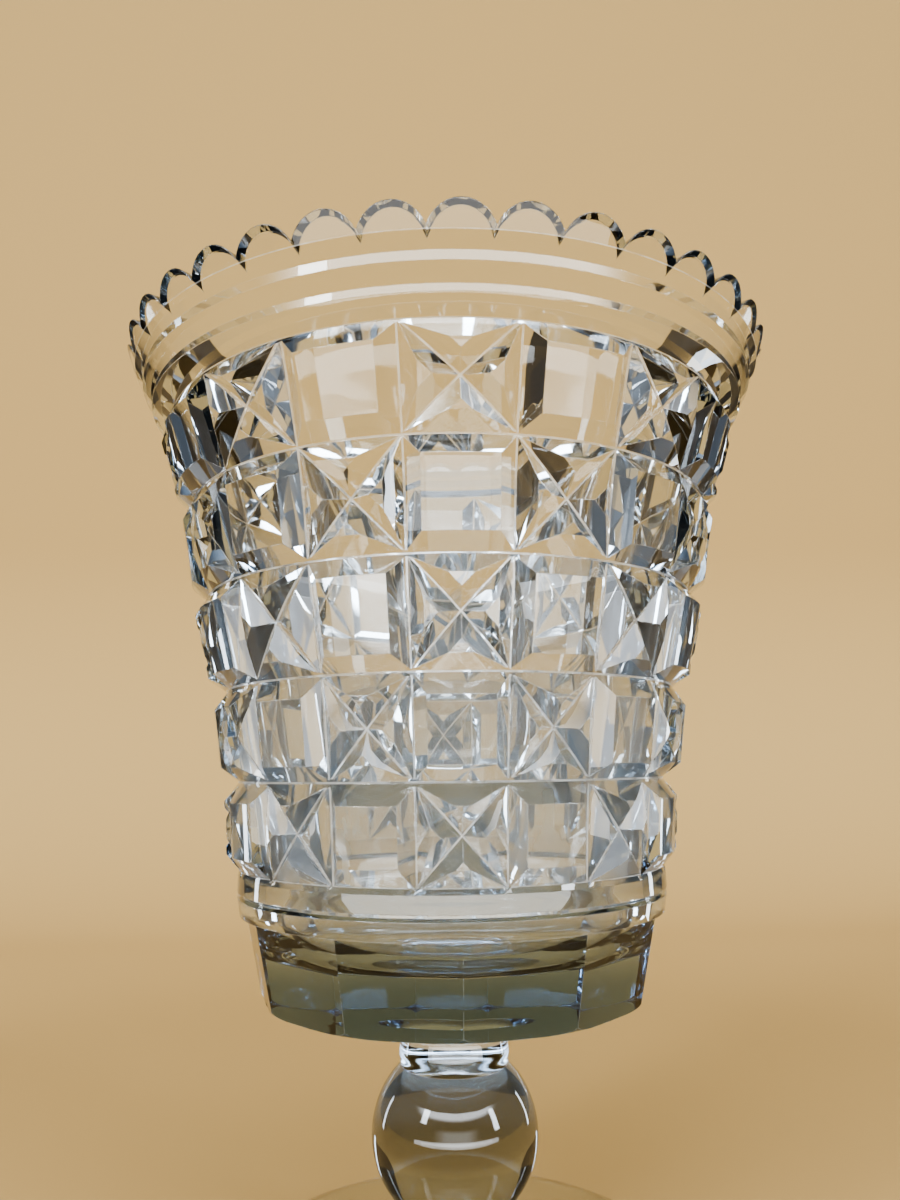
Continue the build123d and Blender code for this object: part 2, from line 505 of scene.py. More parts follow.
@dataclass(frozen=True)
class GlassFinish:
    """Clear lead crystal with rounded facet edges and faint handling marks.

    Where a face carries the join mark, the glass runs on into the next gather and nothing shows.
    Sizes are in metres, apart from the edges' radius in millimetres.
    """

    name: str
    tint: Colour = colour(0.975, 0.985, 0.98)
    index: float = 1.545
    edge_radius: float = 0.22
    edge_samples: int = 4

    ripple: float = 0.02
    ripple_height: float = 0.004
    ripples: Speckle = Speckle(55.0, 2.0, 0.4, (1.0, 1.0, 0.45))

    haze: float = 0.006
    grain: Speckle = Speckle(260.0, 2.0, 0.5)
    inner_haze: float = 0.02
    smear: float = 0.025
    smears: Speckle = Speckle(38.0, 4.0, 0.6, (1.0, 1.0, 0.6))
    smear_range: Pair = (0.56, 0.78)

    wear: float = 0.45
    wear_tone: Colour = colour(0.90, 0.93, 0.95)
    wear_roughness: float = 0.32
    wear_clearness: float = 0.45
    edge_wear: float = 0.6
    edge_bend: Pair = (0.003, 0.035)
    edge_specks: Speckle = Speckle(420.0)
    edge_range: Pair = (0.25, 0.6)
    groove_specks: Speckle = Speckle(150.0)
    groove_range: Pair = (0.3, 0.7)
    groove_least: float = 0.3

    bloom: float = 0.34
    bloom_tone: Colour = colour(0.62, 0.72, 0.80)
    bloom_roughness: float = 0.45
    bloom_clearness: float = 0.55
    bloom_clouds: Speckle = Speckle(60.0, 4.0, 0.6, (1.0, 1.0, 0.35))
    bloom_rise: Pair = (0.074, 0.092)
    bloom_fall: Pair = (0.092, 0.175)
    bloom_on_floor: float = 0.1
    bloom_least: float = 0.45
    bloom_patches: float = 0.7

    depth_tone: Colour = colour(0.0, 0.25, 0.5)
    depth_density: float = 11.0
    # Painted shade: a darker colour on marked faces, standing in for shade seen through the glass;
    # above the fall heights it eases off to the least share.
    painted_shade_tone: Colour | None = None
    painted_shade_fall: Pair = (0.064, 0.080)
    painted_shade_least: float = 1.0

    def build(self) -> bpy.types.Material:
        """Make the material.

        Returns:
            The material.
        """
        graph = Graph(self.name)
        radius = self.edge_radius * MM
        soft = graph.add("ShaderNodeBevel", {"samples": self.edge_samples}, {"Radius": radius})
        glass = self._polished(graph, soft)
        worn = self._layer(graph, self.wear_tone, self.wear_roughness, self.wear_clearness)
        glass = graph.mix(self._worn_share(graph, soft), glass, worn)
        dull = self._layer(graph, self.bloom_tone, self.bloom_roughness, self.bloom_clearness)
        glass = graph.mix(self._bloom_share(graph), glass, dull)
        clear = graph.add("ShaderNodeBsdfTransparent", inputs={"Color": colour(1, 1, 1)})
        surface = graph.mix(graph.marked(Mark.JOIN), glass, clear)
        depth = {"Color": self.depth_tone, "Density": self.depth_density}
        return graph.finish(surface, graph.add("ShaderNodeVolumeAbsorption", inputs=depth))

    def _polished(self, graph: Graph, soft: Socket) -> Socket:
        """The polished glass itself, with a faint ripple, haze and smears.

        Args:
            graph: The material's graph.
            soft: Normal that rounds the facets' edges.

        Returns:
            The shader.
        """
        smears = graph.noise(self.smears).ramp(*self.smear_range) * self.smear
        haze = (graph.noise(self.grain) + 1.0) * self.haze
        rough = haze + smears + graph.marked(Mark.INSIDE) * self.inner_haze
        bump = {"Height": graph.noise(self.ripples), "Normal": soft}
        bump |= {"Strength": self.ripple, "Distance": self.ripple_height}
        normal = graph.add("ShaderNodeBump", inputs=bump)
        return self._layer(graph, self._tone(graph), rough, 1.0, normal)

    def _tone(self, graph: Graph) -> Socket | Colour:
        """Colour of the glass, with painted shade on the faces that carry its mark: a darker tint that
        stands in for shade seen through the glass, easing off upwards to a least share.

        Args:
            graph: The material's graph.

        Returns:
            The colour.
        """
        if self.painted_shade_tone is None:
            return self.tint
        # Share of painted shade: full low down, easing off to the least share above the fall heights.
        shade_fade = graph.height().ramp(*self.painted_shade_fall) * (1.0 - self.painted_shade_least)
        tones = {0: graph.marked(Mark.THICK) * (1.0 - shade_fade), 6: self.tint, 7: self.painted_shade_tone}
        return graph.add("ShaderNodeMix", {"data_type": "RGBA"}, tones, 2)

    def _worn_share(self, graph: Graph, soft: Socket) -> Socket:
        """Share of fine wear along the facets' edges and down in the grooves.

        Args:
            graph: The material's graph.
            soft: Normal that rounds the facets' edges.

        Returns:
            The share.
        """
        flat = graph.add("ShaderNodeNewGeometry", output="Normal")
        dot = {"operation": "DOT_PRODUCT"}
        facing = graph.add("ShaderNodeVectorMath", dot, {0: soft, 1: flat}, "Value")
        specks = graph.noise(self.edge_specks).ramp(*self.edge_range)
        rubbed = (1.0 - facing).ramp(*self.edge_bend) * specks * self.edge_wear
        patches = graph.noise(self.groove_specks).ramp(*self.groove_range)
        patches = patches * (1.0 - self.groove_least) + self.groove_least
        return (rubbed + graph.marked(Mark.GROOVE) * patches) * self.wear

    def _bloom_share(self, graph: Graph) -> Socket:
        """Share of the cloudy bloom that standing water left low on the inside wall.

        Args:
            graph: The material's graph.

        Returns:
            The share.
        """
        clouds = graph.noise(self.bloom_clouds) * self.bloom_patches + self.bloom_least
        height = graph.height()
        rise = height.ramp(*self.bloom_rise) * (1.0 - self.bloom_on_floor) + self.bloom_on_floor
        fall = 1.0 - height.ramp(*self.bloom_fall)
        return graph.marked(Mark.INSIDE) * rise * fall * clouds * self.bloom

    def _layer(
        self,
        graph: Graph,
        tone: "Socket | Colour",
        rough: "Socket | float",
        clear: float,
        normal: Socket | None = None,
    ) -> Socket:
        """One glassy layer.

        Args:
            graph: The material's graph.
            tone: Its colour.
            rough: Its roughness.
            clear: How much passes through it.
            normal: Its normal, if it isn't the face's own.

        Returns:
            The shader.
        """
        inputs = {"Base Color": tone, "Roughness": rough}
        inputs |= {"IOR": self.index, "Transmission Weight": clear}
        if normal:
            inputs["Normal"] = normal
        return graph.add("ShaderNodeBsdfPrincipled", inputs=inputs)


# The bowl's painted shade darkens its fluted base in blue-grey, strongest at the bottom.
BOWL_GLASS = GlassFinish("bowl_glass", painted_shade_tone=colour(0.16, 0.25, 0.34), painted_shade_least=0.30)
# The stem's painted shade darkens the whole ball in grey, without easing off.
STEM_GLASS = GlassFinish("stem_glass", ripple=0.05, painted_shade_tone=colour(0.36, 0.37, 0.36))
FOOT_GLASS = GlassFinish("foot_glass", ripple=0.06)


@dataclass(frozen=True)
class PaperFinish:
    """Plain matt studio paper."""

    name: str
    tone: Colour
    glow: float = 0.0

    def build(self) -> bpy.types.Material:
        """Make the material.

        Returns:
            The material.
        """
        graph = Graph(self.name)
        wanted = {"Base Color": self.tone, "Roughness": 1.0, "Specular IOR Level": 0.0}
        wanted |= {"Emission Color": self.tone, "Emission Strength": self.glow}
        return graph.finish(graph.add("ShaderNodeBsdfPrincipled", inputs=wanted))


@dataclass
class Finishes:
    """All the finishes of the vase."""

    bowl: bpy.types.Material = field(default_factory=BOWL_GLASS.build)
    stem: bpy.types.Material = field(default_factory=STEM_GLASS.build)
    foot: bpy.types.Material = field(default_factory=FOOT_GLASS.build)


# ---------------------------------------------------------------- cut patterns

Poly = list[Triple]


@dataclass(frozen=True)
class Groove:
    """One mitre groove in the flat pattern: a V with a narrow polished floor."""

    name: str
    normal: Pair
    offset: float
    depth: float
    half_width: float
    floor: float = 0.17

    def distance(self, x: float, y: float) -> float:
        """Signed distance from the groove's centre line."""
        return self.normal[0] * x + self.normal[1] * y + self.offset

    def plane(self, x: float, y: float) -> tuple[str, Triple]:
        """The part of the groove above a place, as a depth that is linear in x and y.

        Args:
            x: Place across the cell.
            y: Place up the cell.

        Returns:
            The name of the part, and its factors of x, of y and of 1.
        """
        away = self.distance(x, y)
        if abs(away) <= self.floor:
            return self.name + "_floor", (0.0, 0.0, self.depth)
        steep = self.depth / (self.half_width - self.floor)
        side = -steep if away > 0 else steep
        part = self.name + ("_over" if away > 0 else "_under")
        rest = self.depth + steep * self.floor + side * self.offset
        return part, (side * self.normal[0], side * self.normal[1], rest)

    def seams(self) -> list[Triple]:
        """Lines where the groove's parts meet."""
        return [(*self.normal, self.offset + s * self.floor) for s in (-1, 1)]


def clip(poly: Sequence[Pair], line: Triple) -> list[Pair]:
    """The part of a convex outline on the positive side of a line.

    Args:
        poly: The outline.
        line: Factors of x, of y and of 1.

    Returns:
        The clipped outline, empty if nothing is left.
    """
    side = [line[0] * x + line[1] * y + line[2] for x, y in poly]
    kept: list[Pair] = []
    for i, (x, y) in enumerate(poly):
        k = (i + 1) % len(poly)
        if side[i] >= -ON_LINE:
            kept.append((x, y))
        low, high = sorted((side[i], side[k]))
        if low < -ON_LINE and high > ON_LINE:
            t = side[i] / (side[i] - side[k])
            kept.append((x + (poly[k][0] - x) * t, y + (poly[k][1] - y) * t))
    return kept


def area(poly: Sequence[Pair]) -> float:
    """Area of an outline."""
    total = sum(a[0] * b[1] - b[0] * a[1] for a, b in zip(poly, [*poly[1:], poly[0]]))
    return abs(total) / 2


def facets(
    outline: list[Pair], grooves: Sequence[Groove], cuts: Sequence[Triple]
) -> list[tuple[str, Poly]]:
    """Facets that a set of grooves leaves in a flat outline.

    Args:
        outline: Convex outline of the cell.
        grooves: The grooves that reach into it.
        cuts: Extra lines that divide the facets so that they can follow a curve.

    Returns:
        Named facets with points (x, y, depth).
    """
    pieces = [outline]
    for line in [*cuts, *(seam for groove in grooves for seam in groove.seams())]:
        back = (-line[0], -line[1], -line[2])
        pieces = [part for piece in pieces for part in (clip(piece, line), clip(piece, back))]
        pieces = [piece for piece in pieces if len(piece) > 2 and area(piece) > LEAST_PIECE]
    found: list[tuple[str, Poly]] = []
    for piece in pieces:
        x = sum(p[0] for p in piece) / len(piece)
        y = sum(p[1] for p in piece) / len(piece)
        planes = [("skin", (0.0, 0.0, 0.0)), *(groove.plane(x, y) for groove in grooves)]
        for name, f in planes:
            rest = piece
            for other, g in planes:
                if other != name and len(rest) > 2:
                    rest = clip(rest, (f[0] - g[0], f[1] - g[1], f[2] - g[2]))
            if len(rest) > 2 and area(rest) > LEAST_FACET:
                found.append((name, [(u, v, f[0] * u + f[1] * v + f[2]) for u, v in rest]))
    return found


class CellKind(Enum):
    """What is cut into a cell of the rows."""

    CROSS = "cross"
    BLOCK = "block"


@dataclass(frozen=True)
class CutRows:
    """The chequered rows of crosses and blocks round the bowl."""

    columns: int = 18
    middle_radius: float = 57.0
    levels: tuple[float, ...] = (87.9, 106.3, 126.0, 147.3, 168.3, 187.7)
    ring_depths: tuple[float, ...] = (2.6, 3.5, 3.4, 3.4, 3.1, 3.5)
    ring_half: float = 3.6
    upright_depth: float = 3.0
    upright_half: float = 3.25
    cross_depth: float = 2.85
    cross_half: float = 3.05
    columns_split: int = 8
    rows_split: int = 4
    skin: Curve = Curve(
        (
            (84.0, 50.1),
            (92.0, 50.6),
            (102.4, 51.4),
            (110.2, 52.5),
            (122.1, 54.2),
            (130.3, 55.9),
            (143.1, 58.9),
            (151.2, 60.2),
            (160.0, 61.6),
            (170.4, 64.0),
            (178.0, 66.2),
            (185.4, 68.5),
            (192.0, 70.8),
        )
    )

    @property
    def width(self) -> float:
        """Width of a cell in the flat pattern."""
        return FULL_TURN * self.middle_radius / self.columns

    def kind(self, row: int, column: int) -> CellKind:
        """What is cut into one cell."""
        return CellKind.CROSS if (row + column) % 2 == 0 else CellKind.BLOCK

    def grooves(self, row: int, kind: CellKind) -> list[Groove]:
        """The grooves that bound and cross one cell.

        Args:
            row: Row, from the lowest.
            kind: The kind of cell.

        Returns:
            The grooves.
        """
        half, low, high = self.width / 2, self.levels[row], self.levels[row + 1]
        found = [
            Groove("left", (1, 0), half, self.upright_depth, self.upright_half),
            Groove("right", (1, 0), -half, self.upright_depth, self.upright_half),
            Groove("low", (0, 1), -low, self.ring_depths[row], self.ring_half),
            Groove("high", (0, 1), -high, self.ring_depths[row + 1], self.ring_half),
        ]
        if kind is CellKind.CROSS:
            tall = high - low
            long = math.hypot(tall, self.width)
            middle = (low + high) / 2
            for name, side in (("rising", -1), ("falling", 1)):
                normal = (side * tall / long, self.width / long)
                offset = -middle * normal[1]
                found.append(Groove(name, normal, offset, self.cross_depth, self.cross_half))
        return found

    def cell(self, row: int, kind: CellKind) -> list[tuple[str, Poly]]:
        """Facets of one cell in the flat pattern.

        Args:
            row: Row, from the lowest.
            kind: The kind of cell.

        Returns:
            Named facets.
        """
        half, low, high = self.width / 2, self.levels[row], self.levels[row + 1]
        outline = [(-half, low), (half, low), (half, high), (-half, high)]
        step = self.width / self.columns_split
        cuts = [(1.0, 0.0, half - i * step) for i in range(1, self.columns_split)]
        rise = (high - low) / self.rows_split
        cuts += [(0.0, 1.0, -low - i * rise) for i in range(1, self.rows_split)]
        return facets(outline, self.grooves(row, kind), cuts)

    def place(self, x: float, y: float, depth: float) -> Triple:
        """Wrap a point of the flat pattern round the bowl.

        Args:
            x: Place across the pattern, from the front.
            y: Height of the skin above it.
            depth: Depth below the skin.

        Returns:
            Radius, angle and height.
        """
        lean = math.atan(self.skin.slope(y))
        radius = self.skin.value(y) - depth * math.cos(lean)
        return radius, FRONT + x / self.middle_radius, y + depth * math.sin(lean)

    def welded(self) -> dict[tuple[int, CellKind], list[tuple[str, Poly]]]:
        """All the cells, with points added so that neighbours share every corner.

        Returns:
            Facets by row and kind.
        """
        half = self.width / 2
        cells = {(r, k): self.cell(r, k) for r in range(len(self.levels) - 1) for k in CellKind}
        across: dict[float, set[float]] = {level: set() for level in self.levels}
        up: dict[int, set[float]] = {r: set() for r in range(len(self.levels) - 1)}
        for (row, _), parts in cells.items():
            for _, poly in parts:
                for x, y, _ in poly:
                    for level in self.levels[row : row + 2]:
                        if abs(y - level) < SAME:
                            across[level].add(round(x, DIGITS))
                    if abs(abs(x) - half) < SAME:
                        up[row].add(round(y, DIGITS))
        for (row, kind), parts in cells.items():
            for index, (name, poly) in enumerate(parts):
                grown: Poly = []
                for a, b in zip(poly, [*poly[1:], poly[0]]):
                    grown.append(a)
                    grown += self._between(a, b, 1, 0, self.levels[row : row + 2], across)
                    sides = {-half: up[row], half: up[row]}
                    grown += self._between(a, b, 0, 1, tuple(sides), sides)
                parts[index] = (name, grown)
        return cells

    @staticmethod
    def _between(
        a: Triple,
        b: Triple,
        fixed: int,
        free: int,
        lines: Sequence[float],
        marks: dict[float, set[float]],
    ) -> Poly:
        """Points to add on an edge that lies on a border.

        Args:
            a: Start of the edge.
            b: End of the edge.
            fixed: Which coordinate is constant on the border.
            free: Which coordinate runs along it.
            lines: The borders.
            marks: Places to mark on each border.

        Returns:
            The added points in order.
        """
        for line in lines:
            if abs(a[fixed] - line) < SAME and abs(b[fixed] - line) < SAME:
                low, high = sorted((a[free], b[free]))
                inside = sorted(m for m in marks[line] if low + APART < m < high - APART)
                if a[free] > b[free]:
                    inside.reverse()
                found: Poly = []
                for mark in inside:
                    t = (mark - a[free]) / (b[free] - a[free])
                    spot = [a[i] + (b[i] - a[i]) * t for i in range(3)]
                    spot[free] = mark
                    found.append((spot[0], spot[1], spot[2]))
                return found
        return []

    def add_to(self, shell: Shell) -> tuple[dict[float, int], dict[float, int]]:
        """Add the rows to a shell.

        Args:
            shell: The shell.

        Returns:
            The lowest and the highest ring, each from angle to point.
        """
        cells = self.welded()
        lowest: dict[float, int] = {}
        highest: dict[float, int] = {}
        for row in range(len(self.levels) - 1):
            for column in range(self.columns):
                shift = column * self.width
                for name, poly in cells[row, self.kind(row, column)]:
                    corners = []
                    for x, y, depth in poly:
                        radius, angle, height = self.place(x + shift, y, depth)
                        corners.append(shell.point(radius, angle, height))
                        key = round((angle - FRONT) % FULL_TURN, DIGITS) % round(FULL_TURN, DIGITS)
                        if row == 0 and abs(y - self.levels[0]) < SAME:
                            lowest.setdefault(key, corners[-1])
                        if row == len(self.levels) - 2 and abs(y - self.levels[-1]) < SAME:
                            highest.setdefault(key, corners[-1])
                    mark = Mark.GROOVE if name.endswith("_floor") else Mark.PLAIN
                    shell.face(corners, name.replace("left", "side").replace("right", "side"), mark)
        return lowest, highest


# ---------------------------------------------------------------- the pieces


@dataclass
class Bowl:
    """The cut bowl: rim, rings, rows, fluted base and open inside."""

    finishes: Finishes
    rows: CutRows = CutRows()
    top: float = 205.6
    rim_radius: float = 76.5
    scallops: int = 38
    scallop_rise: float = 3.95
    scallop_steps: int = 12
    edge: float = 0.22
    crease: Pair = (74.5, 200.6)
    crease_line: float = 0.22
    rim_rings: tuple[Pair, ...] = ((70.4, 191.3), (70.3, 192.9), (72.6, 196.0), (72.5, 198.0))
    base_rings: tuple[Pair, ...] = (
        (48.0, 87.0),
        (48.1, 83.6),
        (47.1, 82.9),
        (48.0, 82.3),
        (47.4, 78.7),
    )
    flutes: int = 12
    flute_steps: int = 20
    flute_levels: int = 4
    round_steps: int = 6
    flute_top: Pair = (46.9, 78.7)
    flute_low: Pair = (43.3, 62.4)
    under_z: float = 60.6
    round_radius: float = 1.8
    neck_radius: float = 12.6
    floor_z: float = 71.5
    floor_sag: float = 0.15
    floor_radii: Pair = (20.0, 9.0)
    corner_radius: float = 11.0
    corner_centre: Pair = (28.7, 82.3)
    corner_turn: Pair = (-4.0, -90.0)
    corner_steps: int = 10
    wall_span: Pair = (200.4, 82.0)
    wall_steps: int = 44
    inside: Curve = Curve(
        (
            (82.0, 39.3),
            (90.0, 41.0),
            (106.6, 43.2),
            (126.6, 46.8),
            (148.1, 51.2),
            (168.0, 56.1),
            (180.0, 59.6),
            (188.6, 62.6),
            (194.0, 65.6),
            (199.5, 69.2),
            (205.6, 73.4),
        )
    )

    def build(self) -> bpy.types.Object:
        """Make the piece.

        Returns:
            The bowl.
        """
        shell = Shell("bowl_cut")
        lowest, highest = self.rows.add_to(shell)
        angles, outer, inner = self._scallop_edges(shell)
        self._add_rim(shell, highest, angles, outer)
        self._add_inside(shell, angles, inner)
        self._add_base(shell, lowest)
        return shell.build(self.finishes.bowl)

    def _scallop_edges(self, shell: Shell) -> tuple[list[float], list[int], list[int]]:
        """Top faces of the scallops, with a hair of a bevel along both edges.

        Args:
            shell: The shell.

        Returns:
            The angles round the rim, the lower outer edge and the lower inner edge.
        """
        half = self.rim_radius * math.pi / self.scallops
        bow = (half**2 + self.scallop_rise**2) / (2 * self.scallop_rise)
        swing = math.asin(half / bow)
        angles: list[float] = []
        heights: list[float] = []
        for scallop in range(self.scallops):
            for step in range(self.scallop_steps):
                turn = swing * (2 * step / self.scallop_steps - 1)
                angles.append((scallop * 2 * half + bow * math.sin(turn)) / self.rim_radius)
                heights.append(self.top - bow + bow * math.cos(turn))
        rims: list[list[int]] = [[], [], [], []]
        for angle, height in zip(angles, heights):
            out, into = self._outer(height), self.inside.value(height)
            spots = (
                (self._outer(height - self.edge), height - self.edge),
                (out - self.edge, height),
                (into + self.edge, height),
                (self.inside.value(height - self.edge), height - self.edge),
            )
            for rim, (radius, level) in zip(rims, spots):
                rim.append(shell.point(radius, FRONT + angle, level))
        steps = self.scallop_steps
        for low, high, name in zip(rims, rims[1:], ("rim_out", "rim_top", "rim_in")):
            shell.band(low, high, lambda i, name=name: (name, i // steps))
        return angles, rims[0], rims[3]

    def _outer(self, height: float) -> float:
        """Radius of the face outside the scallops."""
        share = (height - self.crease[1]) / (self.top - self.crease[1])
        return self.crease[0] + (self.rim_radius - self.crease[0]) * share

    def _add_rim(
        self, shell: Shell, highest: dict[float, int], angles: list[float], edge: list[int]
    ) -> None:
        """Prism rings between the rows and the scallops.

        Args:
            shell: The shell.
            highest: The top ring of the rows.
            angles: Angles round the rim.
            edge: The outer edge of the scallops.
        """
        turned = [FRONT + angle for angle in angles]
        lines = (self.crease[1], self.crease[1] + self.crease_line)
        crease = [(self._outer(height), height) for height in lines]
        rings = [shell.ring(*place, turned) for place in (*self.rim_rings, *crease)]
        first = {angle % FULL_TURN: point for angle, point in zip(angles, rings[0])}
        shell.zipper(highest, first, "rim_ring_0")
        for number, (low, high) in enumerate(zip(rings, rings[1:])):
            mark = Mark.GROOVE if number == len(rings) - 2 else Mark.PLAIN
            shell.band(low, high, f"rim_ring_{number + 1}", mark)
        shell.band(rings[-1], edge, "rim_face")

    def _add_inside(self, shell: Shell, angles: list[float], edge: list[int]) -> None:
        """The smooth inner wall and floor.

        Args:
            shell: The shell.
            angles: Angles round the rim.
            edge: The inner edge of the scallops.
        """
        turned = [FRONT + angle for angle in angles]
        profile = [(self.inside.value(z), z) for z in spaced(*self.wall_span, self.wall_steps)]
        corner = arc(self.corner_centre, self.corner_radius, *self.corner_turn, self.corner_steps)
        profile += corner[1:]
        levels = (self.floor_z - self.floor_sag, self.floor_z)
        profile += list(zip(self.floor_radii, levels))
        last = edge
        for radius, height in profile:
            ring = shell.ring(radius, height, turned)
            shell.band(last, ring, "inside", Mark.INSIDE)
            last = ring
        shell.fan(last, shell.point(0, 0, self.floor_z), "inside", Mark.INSIDE)

    def _flat(self, angle: float, height: float) -> float:
        """Radius of the fluted face.

        Args:
            angle: Angle from the front in radians.
            height: The height.

        Returns:
            The radius.
        """
        share = (height - self.flute_low[1]) / (self.flute_top[1] - self.flute_low[1])
        arris = self.flute_low[0] + (self.flute_top[0] - self.flute_low[0]) * share
        pitch = FULL_TURN / self.flutes
        off = angle % pitch - pitch / 2
        return arris * math.cos(pitch / 2) / math.cos(off)

    def _add_base(self, shell: Shell, lowest: dict[float, int]) -> None:
        """Step rings, flutes, rounded edge and underside.

        Args:
            shell: The shell.
            lowest: The bottom ring of the rows.
        """
        count = self.flutes * self.flute_steps
        angles = [FULL_TURN * i / count for i in range(count)]
        turned = [FRONT + angle for angle in angles]
        rings = [shell.ring(*place, turned) for place in self.base_rings]
        shell.zipper(lowest, dict(zip(angles, rings[0])), "base_ring_0")
        for number, (low, high) in enumerate(zip(rings, rings[1:])):
            shell.band(low, high, f"base_ring_{number + 1}")
        centre = (self.flute_low[0] - self.round_radius, self.under_z + self.round_radius)
        meets = [self._meet(angle, centre) for angle in angles]
        last = rings[-1]
        # The flutes, rounded edge and underside carry the painted shade mark.
        for step in range(self.flute_levels + 1):
            ring = []
            for angle, meet in zip(angles, meets):
                low = centre[1] + self.round_radius * math.sin(meet)
                height = self.flute_top[1] + (low - self.flute_top[1]) * step / self.flute_levels
                ring.append(shell.point(self._flat(angle, height), FRONT + angle, height))
            steps = self.flute_steps
            region = "flute_ledge" if step == 0 else (lambda i: ("flute", i // steps))
            shell.band(last, ring, region, Mark.THICK)
            last = ring
        for step in range(1, self.round_steps + 1):
            ring = []
            for angle, meet in zip(angles, meets):
                turn = meet + (-QUARTER - meet) * step / self.round_steps
                radius = centre[0] + self.round_radius * math.cos(turn)
                height = centre[1] + self.round_radius * math.sin(turn)
                ring.append(shell.point(radius, FRONT + angle, height))
            shell.band(last, ring, "base_round", Mark.THICK)
            last = ring
        inner = shell.ring(self.neck_radius, self.under_z, turned)
        shell.band(last, inner, "base_under", Mark.THICK)
        shell.fan(inner, shell.point(0, 0, self.under_z), "base_join", Mark.JOIN)

    def _meet(self, angle: float, centre: Pair) -> float:
        """Where the flute meets the rounded lower edge.

        Args:
            angle: Angle from the front in radians.
            centre: Centre of the rounding.

        Returns:
            The angle on the rounding, in radians.
        """
        low, high = -QUARTER, 0.0
        for _ in range(HALVINGS):
            turn = (low + high) / 2
            radius = centre[0] + self.round_radius * math.cos(turn)
            height = centre[1] + self.round_radius * math.sin(turn)
            low, high = (turn, high) if radius < self._flat(angle, height) else (low, turn)
        return low


@dataclass
class Neck:
    """Short neck with a swelling collar."""

    finishes: Finishes
    top_z: float = 60.6 - JOIN_GAP
    low_z: float = 45.3
    steps: int = 28
    segments: int = 144
    wall: Curve = Curve(
        (
            (45.3, 11.8),
            (47.6, 12.15),
            (49.6, 11.9),
            (52.0, 11.55),
            (57.0, 11.6),
            (59.4, 12.0),
            (60.6, 12.6),
        )
    )

    def build(self) -> bpy.types.Object:
        """Make the piece."""
        side = [(self.wall.value(z), z) for z in spaced(self.low_z, self.top_z, self.steps)]
        return gather("neck_glass", side, self.segments, self.finishes.stem)


@dataclass
class BallKnop:
    """Solid ball of the stem."""

    finishes: Finishes
    radius: float = 18.2
    centre_z: float = 31.4
    top_z: float = 45.3 - JOIN_GAP
    low_z: float = 18.4
    steps: int = 40
    segments: int = 160

    def build(self) -> bpy.types.Object:
        """Make the piece.

        Returns:
            The ball.
        """
        low = math.degrees(math.asin((self.low_z - self.centre_z) / self.radius))
        high = math.degrees(math.asin((self.top_z - self.centre_z) / self.radius))
        side = arc((0, self.centre_z), self.radius, low, high, self.steps)
        # The ball's side carries the painted shade mark.
        return gather("ball_glass", side, self.segments, self.finishes.stem, Mark.THICK)


@dataclass
class LowerStem:
    """Waisted stem between the ball and the foot."""

    finishes: Finishes
    top_z: float = 18.4 - JOIN_GAP
    low_z: float = 14.5
    steps: int = 12
    segments: int = 144
    wall: Curve = Curve(((14.5, 15.2), (15.2, 14.1), (16.2, 13.2), (17.3, 12.75), (18.4, 12.7)))

    def build(self) -> bpy.types.Object:
        """Make the piece."""
        side = [(self.wall.value(z), z) for z in spaced(self.low_z, self.top_z, self.steps)]
        return gather("stem_glass_low", side, self.segments, self.finishes.stem)


@dataclass
class Foot:
    """Round foot, slightly hollow beneath, with a rounded edge."""

    finishes: Finishes
    top_z: float = 14.5 - JOIN_GAP
    stem_radius: float = 15.2
    edge_start: float = 50.0
    edge_top_z: float = 3.5
    edge_centre: Pair = (49.45, 1.75)
    edge_radius: float = 1.75
    edge_turn: Pair = (-70, 72)
    edge_steps: int = 14
    rest_steps: int = 3
    hollow_radius: float = 41.0
    hollow_depth: float = 1.4
    steps: int = 40
    segments: int = 192
    wall: Curve = Curve(
        (
            (15.2, 14.5),
            (17.0, 12.4),
            (22.0, 9.4),
            (29.0, 7.2),
            (36.0, 5.7),
            (44.0, 4.3),
            (50.0, 3.5),
        )
    )

    def build(self) -> bpy.types.Object:
        """Make the piece.

        Returns:
            The foot.
        """
        radii = spaced(self.edge_start, self.stem_radius, self.steps)
        top = [(r, self.wall.value(r)) for r in radii]
        shares = spaced(0.0, 1.0, self.steps // 2)
        hollow = [(self.hollow_radius * t, self.hollow_depth * (1 - t * t)) for t in shares]
        rest = [(r, 0.0) for r in spaced(self.hollow_radius, self.edge_start, self.rest_steps)]
        bend = arc(self.edge_centre, self.edge_radius, *self.edge_turn, self.edge_steps)[1:]
        spans = (
            Span(tuple(hollow), "hollow"),
            Span(tuple(rest), "rest"),
            Span((rest[-1], *bend, (self.edge_start, self.edge_top_z)), "edge"),
            Span(tuple(top), "edge"),
            Span((top[-1], (0, self.top_z)), "top_join", Mark.JOIN),
        )
        shell = Shell("foot_glass_round")
        lathe(shell, spans, self.segments)
        return shell.build(self.finishes.foot)


# ---------------------------------------------------------------- studio


LOW: Triple = (0.0, 0.0, 0.04)
STEM: Triple = (0.0, 0.0, 0.05)
LOWER_ROWS: Triple = (0.0, 0.0, 0.055)


@dataclass(frozen=True)
class Lamp:
    """One soft box, which may show only as a shine on the glass."""

    name: str
    place: Triple
    size: Pair
    power: float
    tone: Triple
    aim: Triple = (0.0, 0.0, 0.12)
    shine_only: bool = False

    def build(self) -> bpy.types.Object:
        """Hang the soft box.

        Returns:
            The light.
        """
        light = bpy.data.lights.new(self.name, "AREA")
        light.shape = "RECTANGLE"
        light.size, light.size_y = self.size
        light.energy = self.power
        light.color = self.tone
        lamp = bpy.data.objects.new(self.name, light)
        lamp.visible_camera = False
        lamp.visible_diffuse = not self.shine_only
        lamp.location = self.place
        way = Vector(self.aim) - Vector(self.place)
        lamp.rotation_euler = way.to_track_quat("-Z", "Y").to_euler()
        bpy.context.scene.collection.objects.link(lamp)
        return lamp


